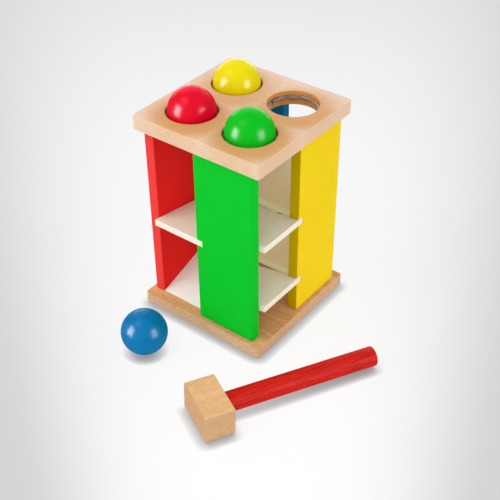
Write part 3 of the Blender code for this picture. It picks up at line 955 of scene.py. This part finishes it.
def red_stain(place, turn):
    """Stain in a dowel: slanting darker streaks, pores and paler ridges between them."""
    material, shader, where = start_material("red stain")
    grain = where.node("ShaderNodeMapping", {"vector_type": "TEXTURE"},
                       {"Vector": where, "Location": place,
                        "Rotation": (turn[0], turn[1], turn[2] + HANDLE_SLANT)})
    streak = grain.noise((0.030, 0.0016, 0.0016), 3.0).step(0.40, 0.66)
    cloud = grain.noise((0.030, 0.012, 0.012), 1.0).step(0.35, 0.70)
    pore = grain.noise((0.0050, 0.00035, 0.00035), 0.0).step(0.62, 0.70)
    tint = (streak * 0.75).mix(rgb(0.68, 0.020, 0.010), rgb(0.46, 0.007, 0.006))
    tint = (cloud * 0.35).mix(tint, rgb(0.58, 0.012, 0.010))
    tint = (pore * 0.45).mix(tint, rgb(0.22, 0.003, 0.004))
    connect(shader, Base_Color=tint, Roughness=0.44 + streak * 0.10,
            Normal=bumped(streak * -0.5 - pore * 0.7, 0.00012), Specular_IOR_Level=0.02)
    return material


handle_points = placed(rod(head_half - SOCKET_DEPTH, HANDLE_REACH, HANDLE_RADIUS,
                           HANDLE_EASE) + [0, 0, head_half], mallet_matrix)
handle_mesh = skin("mallet handle", [(handle_points, True)])
dress("mallet_handle_dowel", handle_mesh, red_stain(mallet_place, mallet_turn),
      "mallet", "red_stain", "mallet_handle")

# %% [markdown]
# ## Hidden dowels
#
# Two dowels join each end of each panel to its board. Nothing of them shows once the
# tower is together, so the CAD solids stay, with plain birch on them.

# %% Birch for the dowels
birch = beech("birch", (0.72, 0.55, 0.36), (0.62, 0.45, 0.28), (0.45, 0.30, 0.18), 0.2,
              turn=(0.0, pi / 2, 0.0))
dowels = [node for name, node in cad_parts.items() if "_dowel_" in name]
for node in dowels:
    node.material_slots[0].material = birch
print(len(dowels), "dowels in birch")

# %% [markdown]
# ## The pale floor
#
# The toy stands on a white sweep. Its brightness is a painted pool of light in the
# floor's colour, brightest round the toy and falling off softly on all sides. For what
# the camera and the glossy paint see, most of the floor's brightness is a glow of its
# own, painted light, which keeps the cast shadows light and adds no light to the toy. A
# glow alone would hide where a thing touches the floor, so it is dimmed close to the
# pieces as a painted contact shadow. The dimming leans: it asks what stands behind a
# point, so the shade lies in front of each piece, as in a studio whose light comes from
# above and behind.

# %% Floor
FLOOR_SIZE, FLOOR_SHINE = 12.0, 0.84
POOL_MIDDLE, POOL_START, POOL_NARROWEST, POOL_WIDTH = 0.009, 0.78, 0.30, 0.15
SHADE_REACH, SHADE_DARKEST, SHADE_FALL = 0.0105, 0.15, 1.8


def seen(wire):
    """1 for a ray from the camera or off a glossy or clear surface, otherwise 0."""
    camera_ray, glossy, clear = (
        wire.node("ShaderNodeLightPath", {}, {}, output=kind)
        for kind in ("Is Camera Ray", "Is Glossy Ray", "Is Transmission Ray"))
    return camera_ray.maths("MAXIMUM", glossy).maths("MAXIMUM", clear)


def pool(where):
    """The painted pool of light: a fan that widens and fades as it runs to the back.

    The distance to the side is divided by the distance ahead of the fan's start, so the
    borders are straight lines through that start. Its square is eased from the middle
    to the border, and both ends of the fan are eased as well.
    """
    side = where.along(level_right(CAMERA_AZIMUTH)) - POOL_MIDDLE
    ahead = where.along(-from_middle(CAMERA_AZIMUTH, 0))
    aside = side / (ahead + POOL_START).maths("MAXIMUM", POOL_NARROWEST)
    middle = (1 - (aside * aside).step(0.0, POOL_WIDTH)) * ahead.step(-1.20, -0.28)
    far = ahead.step(-0.20, 1.50)
    return 0.66 - far * 0.09 + (0.33 - far * 0.18) * middle


def contact_shade(where):
    """1 in the open, and darker where something stands close above or behind."""
    lean = Vector((0, 0, 0.34)) - from_middle(CAMERA_AZIMUTH, 0) * 0.94
    leaning = where.node("ShaderNodeCombineXYZ", {}, dict(zip("XYZ", lean)))
    unhidden = where.node("ShaderNodeAmbientOcclusion", {"samples": 16},
                          {"Distance": SHADE_REACH, "Normal": leaning}, output="AO")
    return unhidden.maths("POWER", SHADE_FALL) * (1 - SHADE_DARKEST) + SHADE_DARKEST


def floor_paper():
    """White paper under a painted pool of light, of which a share glows by itself."""
    material, lit, where = start_material("floor paper")
    shining = material.node_tree.nodes.new("ShaderNodeBsdfPrincipled")
    black, white = rgb(0.0, 0.0, 0.0), rgb(1.0, 1.0, 1.0)
    # The painted pool of light, set as the floor's colour.
    tint = pool(where).mix(black, white)
    connect(lit, Base_Color=tint, Roughness=0.9, Specular_IOR_Level=0.0)
    connect(shining, Base_Color=black, Specular_IOR_Level=0.0,
            Emission_Color=contact_shade(where).mix(black, tint), Emission_Strength=1.0)
    lit, shining = (Wire(where.tree, shader.outputs[0]) for shader in (lit, shining))
    send_out(where.node("ShaderNodeMixShader", {},
                        {0: seen(where) * FLOOR_SHINE, 1: lit, 2: shining}))
    return material


square = np.array([[-1, -1, 0], [1, -1, 0], [1, 1, 0], [-1, 1, 0]])
floor_mesh = bpy.data.meshes.new("floor")
floor_mesh.from_pydata((square * FLOOR_SIZE / 2).tolist(), [], [(0, 1, 2, 3)])
floor_mesh.materials.append(floor_paper())
floor = bpy.data.objects.new("floor", floor_mesh)
scene.collection.objects.link(floor)
print("floor", FLOOR_SIZE, "m across")

# %% [markdown]
# ## The pale room
#
# The world stands for the room. It lights the toy evenly from all sides, as the white
# walls of a studio do, and most of the light comes from it. What the camera and the
# gloss see of it is greyer: a white room would lie as a haze over the glossy paint, and
# would end the floor in a hard line. Real walls would look the same and be slower.

# %% Room
ROOM_FILL, ROOM_SHOWN = 0.84, (0.62, 0.62, 0.63)
world = bpy.data.worlds.new("pale room")
world.use_nodes = True
scene.world = world
room = Wire(world.node_tree)
fill, shown = (
    room.node("ShaderNodeBackground", {}, {"Color": rgb(*colour), "Strength": strength})
    for colour, strength in (((1.0, 1.0, 1.0), ROOM_FILL), (ROOM_SHOWN, 1.0)))
send_out(room.node("ShaderNodeMixShader", {}, {0: seen(room), 1: fill, 2: shown}))
print("the room lights with", ROOM_FILL, "and shows", ROOM_SHOWN)
